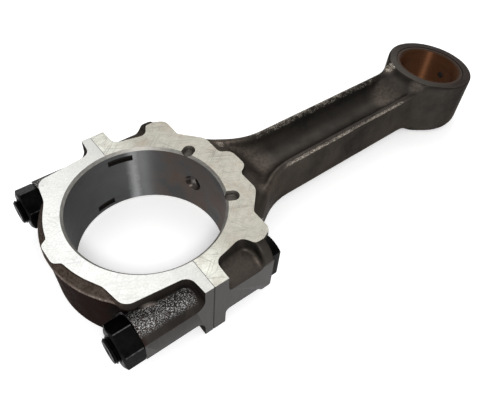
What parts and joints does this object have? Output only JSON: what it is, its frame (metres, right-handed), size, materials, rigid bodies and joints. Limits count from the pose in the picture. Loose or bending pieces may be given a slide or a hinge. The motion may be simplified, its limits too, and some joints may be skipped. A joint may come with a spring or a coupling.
{
  "type": "connecting rod",
  "caption": "Forged diesel engine connecting rod: bolted split big end with bearing cap, I-section shank with flanges and a keystone small end with a pressed bronze bush.",
  "frame": {"origin": "centre of the crankpin housing bore, halfway between the big end's two machined side faces", "axes": "+X from the crankpin bore to the piston pin bore, +Y to the left of that, +Z along both bores"},
  "size_m": [0.3578, 0.138, 0.047],
  "materials": {
    "forged_steel": "forged and shot-blasted steel, dark, with bright machined faces",
    "cap_steel": "forged and shot-blasted steel, dark, with bright machined faces",
    "bronze": "bored bronze, satin",
    "blackened_steel": "black oxide, oiled",
    "pin_steel": "ground steel"
  },
  "bodies": {
    "rod": {"rod_body": "forged_steel", "small_end_bush": "bronze", "dowel_pin_left": "pin_steel", "dowel_pin_right": "pin_steel"},
    "cap": {"bearing_cap": "cap_steel"},
    "bolt_left": {"rod_bolt_left": "blackened_steel"},
    "bolt_right": {"rod_bolt_right": "blackened_steel"},
    "nut_left": {"rod_nut_left": "blackened_steel"},
    "nut_right": {"rod_nut_right": "blackened_steel"}
  },
  "joints": [
    {"name": "cap_lift_off", "type": "slide", "parent": "rod", "child": "cap", "axis": [-1, 0, 0], "range_m": [0, 0.07]},
    {"name": "bolt_left_draw", "type": "slide", "parent": "rod", "child": "bolt_left", "axis": [1, 0, 0], "range_m": [0, 0.115]},
    {"name": "bolt_right_draw", "type": "slide", "parent": "rod", "child": "bolt_right", "axis": [1, 0, 0], "range_m": [0, 0.115]},
    {"name": "nut_left_turn", "type": "hinge", "parent": "cap", "child": "nut_left", "pos_m": [-0.0497, 0.057, 0], "axis": [-1, 0, 0], "continuous": true},
    {"name": "nut_right_turn", "type": "hinge", "parent": "cap", "child": "nut_right", "pos_m": [-0.0497, -0.057, 0], "axis": [-1, 0, 0], "continuous": true}
  ]
}
